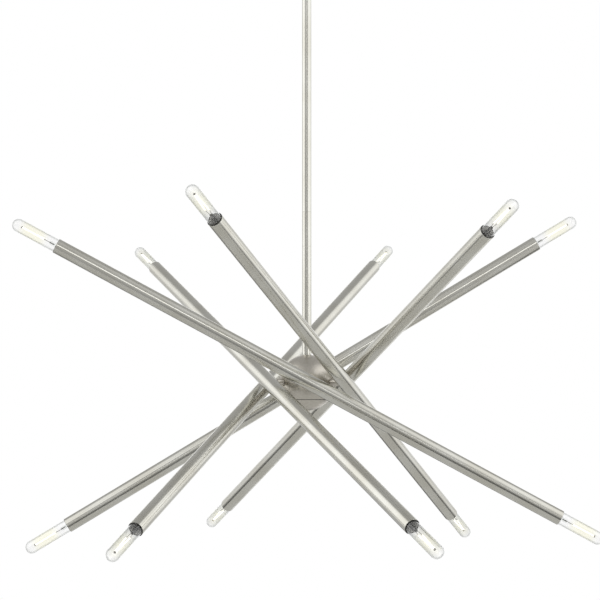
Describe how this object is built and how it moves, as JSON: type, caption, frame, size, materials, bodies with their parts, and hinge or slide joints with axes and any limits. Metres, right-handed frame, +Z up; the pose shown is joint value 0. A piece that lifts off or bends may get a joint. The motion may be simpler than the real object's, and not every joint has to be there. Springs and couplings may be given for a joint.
{
  "type": "sputnik chandelier",
  "caption": "Ceiling chandelier of crossing straight tubes set round a ball hub on a rigid stem, with a clear tubular lamp in each tube end.",
  "frame": {"origin": "middle of the ceiling strap, between its two screw slots, in the ceiling plane", "axes": "+Z up out of the ceiling, +X along the strap through both slots"},
  "size_m": [0.9829, 0.9367, 1.1262],
  "materials": {
    "brushed_nickel": "brushed nickel plate, satin",
    "lamp_glass": "clear glass",
    "lamp_brass": "plain brass shell, with the lamp inside parts",
    "phenolic": "moulded phenolic",
    "lead_insulation": "smooth insulation",
    "zinc_steel": "zinc plated",
    "green_steel": "green dyed zinc plate"
  },
  "bodies": {
    "ceiling_mount": {"ceiling_strap": "zinc_steel", "ground_screw": "green_steel", "ceiling_wiring": "lead_insulation"},
    "canopy": {"canopy": "brushed_nickel", "canopy_ring": "brushed_nickel"},
    "yoke": {"swivel_yoke": "brushed_nickel", "swivel_lock_nut": "zinc_steel", "swivel_pin": "brushed_nickel"},
    "stem_and_hub": {"swivel_tongue": "brushed_nickel", "upper_stem": "brushed_nickel", "stem_coupling": "brushed_nickel", "lower_stem": "brushed_nickel", "stem_nipples": "zinc_steel", "hub_shell": "brushed_nickel", "centre_fitting": "zinc_steel", "hub_wiring": "lead_insulation"},
    "hub_cap": {"hub_cap": "brushed_nickel"},
    "cap_screw": {"cap_screw": "brushed_nickel"},
    "rod_1": {"rod_1_tube": "brushed_nickel", "rod_1_stand_off": "brushed_nickel", "rod_1_lampholders": "phenolic"},
    "bulb_1_upper": {"bulb_1_upper_glass": "lamp_glass", "bulb_1_upper_base": "lamp_brass"},
    "bulb_1_lower": {"bulb_1_lower_glass": "lamp_glass", "bulb_1_lower_base": "lamp_brass"},
    "rod_2": {"rod_2_tube": "brushed_nickel", "rod_2_stand_off": "brushed_nickel", "rod_2_lampholders": "phenolic"},
    "bulb_2_upper": {"bulb_2_upper_glass": "lamp_glass", "bulb_2_upper_base": "lamp_brass"},
    "bulb_2_lower": {"bulb_2_lower_glass": "lamp_glass", "bulb_2_lower_base": "lamp_brass"},
    "rod_3": {"rod_3_tube": "brushed_nickel", "rod_3_stand_off": "brushed_nickel", "rod_3_lampholders": "phenolic"},
    "bulb_3_upper": {"bulb_3_upper_glass": "lamp_glass", "bulb_3_upper_base": "lamp_brass"},
    "bulb_3_lower": {"bulb_3_lower_glass": "lamp_glass", "bulb_3_lower_base": "lamp_brass"},
    "rod_4": {"rod_4_tube": "brushed_nickel", "rod_4_stand_off": "brushed_nickel", "rod_4_lampholders": "phenolic"},
    "bulb_4_upper": {"bulb_4_upper_glass": "lamp_glass", "bulb_4_upper_base": "lamp_brass"},
    "bulb_4_lower": {"bulb_4_lower_glass": "lamp_glass", "bulb_4_lower_base": "lamp_brass"},
    "rod_5": {"rod_5_tube": "brushed_nickel", "rod_5_stand_off": "brushed_nickel", "rod_5_lampholders": "phenolic"},
    "bulb_5_upper": {"bulb_5_upper_glass": "lamp_glass", "bulb_5_upper_base": "lamp_brass"},
    "bulb_5_lower": {"bulb_5_lower_glass": "lamp_glass", "bulb_5_lower_base": "lamp_brass"},
    "rod_6": {"rod_6_tube": "brushed_nickel", "rod_6_stand_off": "brushed_nickel", "rod_6_lampholders": "phenolic"},
    "bulb_6_upper": {"bulb_6_upper_glass": "lamp_glass", "bulb_6_upper_base": "lamp_brass"},
    "bulb_6_lower": {"bulb_6_lower_glass": "lamp_glass", "bulb_6_lower_base": "lamp_brass"}
  },
  "joints": [
    {"name": "canopy_drop", "type": "slide", "parent": "ceiling_mount", "child": "canopy", "axis": [0, 0, 1], "range_m": [-0.1, 0]},
    {"name": "swivel_spin", "type": "hinge", "parent": "ceiling_mount", "child": "yoke", "pos_m": [0, 0, -0.014], "axis": [0, 0, 1], "range_deg": [-180, 180]},
    {"name": "stem_tilt", "type": "hinge", "parent": "yoke", "child": "stem_and_hub", "pos_m": [0, 0, -0.056], "axis": [0, -1, 0], "range_deg": [0, 30]},
    {"name": "rod_1_swivel", "type": "hinge", "parent": "stem_and_hub", "child": "rod_1", "pos_m": [0, 0, -0.83372], "axis": [0.061, -0.9981, 0], "range_deg": [-8, 60]},
    {"name": "bulb_1_upper_unscrew", "type": "hinge", "parent": "rod_1", "child": "bulb_1_upper", "pos_m": [0.40228, 0.09914, -0.58882], "axis": [0.8556, 0.0523, 0.515], "range_deg": [0, 1080]},
    {"name": "bulb_1_lower_unscrew", "type": "hinge", "parent": "rod_1", "child": "bulb_1_lower", "pos_m": [-0.41136, 0.04938, -1.07862], "axis": [-0.8556, -0.0523, -0.515], "range_deg": [0, 1080]},
    {"name": "rod_2_swivel", "type": "hinge", "parent": "stem_and_hub", "child": "rod_2", "pos_m": [0, 0, -0.83372], "axis": [0.8878, -0.4602, 0], "range_deg": [-8, 60]},
    {"name": "bulb_2_upper_unscrew", "type": "hinge", "parent": "rod_2", "child": "bulb_2_upper", "pos_m": [0.12662, 0.40594, -0.60829], "axis": [0.4052, 0.7817, 0.4741], "range_deg": [0, 1080]},
    {"name": "bulb_2_lower_unscrew", "type": "hinge", "parent": "rod_2", "child": "bulb_2_lower", "pos_m": [-0.25872, -0.33746, -1.05915], "axis": [-0.4052, -0.7817, -0.4741], "range_deg": [0, 1080]},
    {"name": "rod_3_swivel", "type": "hinge", "parent": "stem_and_hub", "child": "rod_3", "pos_m": [0, 0, -0.83372], "axis": [0.8526, 0.5225, 0], "range_deg": [-8, 60]},
    {"name": "bulb_3_upper_unscrew", "type": "hinge", "parent": "rod_3", "child": "bulb_3_upper", "pos_m": [-0.28441, 0.32172, -0.61637], "axis": [-0.4647, 0.7584, 0.4571], "range_deg": [0, 1080]},
    {"name": "bulb_3_lower_unscrew", "type": "hinge", "parent": "rod_3", "child": "bulb_3_lower", "pos_m": [0.15754, -0.39947, -1.05107], "axis": [0.4647, -0.7584, -0.4571], "range_deg": [0, 1080]},
    {"name": "rod_4_swivel", "type": "hinge", "parent": "stem_and_hub", "child": "rod_4", "pos_m": [0, 0, -0.83372], "axis": [-0.0541, 0.9985, 0], "range_deg": [-8, 60]},
    {"name": "bulb_4_upper_unscrew", "type": "hinge", "parent": "rod_4", "child": "bulb_4_upper", "pos_m": [-0.41403, -0.09693, -0.60829], "axis": [-0.8792, -0.0476, 0.4741], "range_deg": [0, 1080]},
    {"name": "bulb_4_lower_unscrew", "type": "hinge", "parent": "rod_4", "child": "bulb_4_lower", "pos_m": [0.42208, -0.05165, -1.05915], "axis": [0.8792, 0.0476, -0.4741], "range_deg": [0, 1080]},
    {"name": "rod_5_swivel", "type": "hinge", "parent": "stem_and_hub", "child": "rod_5", "pos_m": [0, 0, -0.83372], "axis": [-0.8704, 0.4924, 0], "range_deg": [-8, 60]},
    {"name": "bulb_5_upper_unscrew", "type": "hinge", "parent": "rod_5", "child": "bulb_5_upper", "pos_m": [-0.13699, -0.39323, -0.59239], "axis": [-0.4243, -0.7499, 0.5075], "range_deg": [0, 1080]},
    {"name": "bulb_5_lower_unscrew", "type": "hinge", "parent": "rod_5", "child": "bulb_5_lower", "pos_m": [0.2665, 0.31995, -1.07506], "axis": [0.4243, 0.7499, -0.5075], "range_deg": [0, 1080]},
    {"name": "rod_6_swivel", "type": "hinge", "parent": "stem_and_hub", "child": "rod_6", "pos_m": [0, 0, -0.83372], "axis": [-0.8563, -0.5165, 0], "range_deg": [-8, 60]},
    {"name": "bulb_6_upper_unscrew", "type": "hinge", "parent": "rod_6", "child": "bulb_6_upper", "pos_m": [0.27894, -0.31836, -0.60465], "axis": [0.4526, -0.7504, 0.4818], "range_deg": [0, 1080]},
    {"name": "bulb_6_lower_unscrew", "type": "hinge", "parent": "rod_6", "child": "bulb_6_lower", "pos_m": [-0.15152, 0.39522, -1.0628], "axis": [-0.4526, 0.7504, -0.4818], "range_deg": [0, 1080]},
    {"name": "hub_cap_lower", "type": "slide", "parent": "stem_and_hub", "child": "hub_cap", "axis": [0, 0, -1], "range_m": [0, 0.008]},
    {"name": "cap_screw_turn", "type": "hinge", "parent": "hub_cap", "child": "cap_screw", "pos_m": [0, 0, -0.83372], "axis": [0, 0, -1], "range_deg": [0, 2880]}
  ],
  "couplings": [
    {"joint": "cap_screw_turn", "follows": "hub_cap_lower", "rad_per_m": 6283.2}
  ]
}
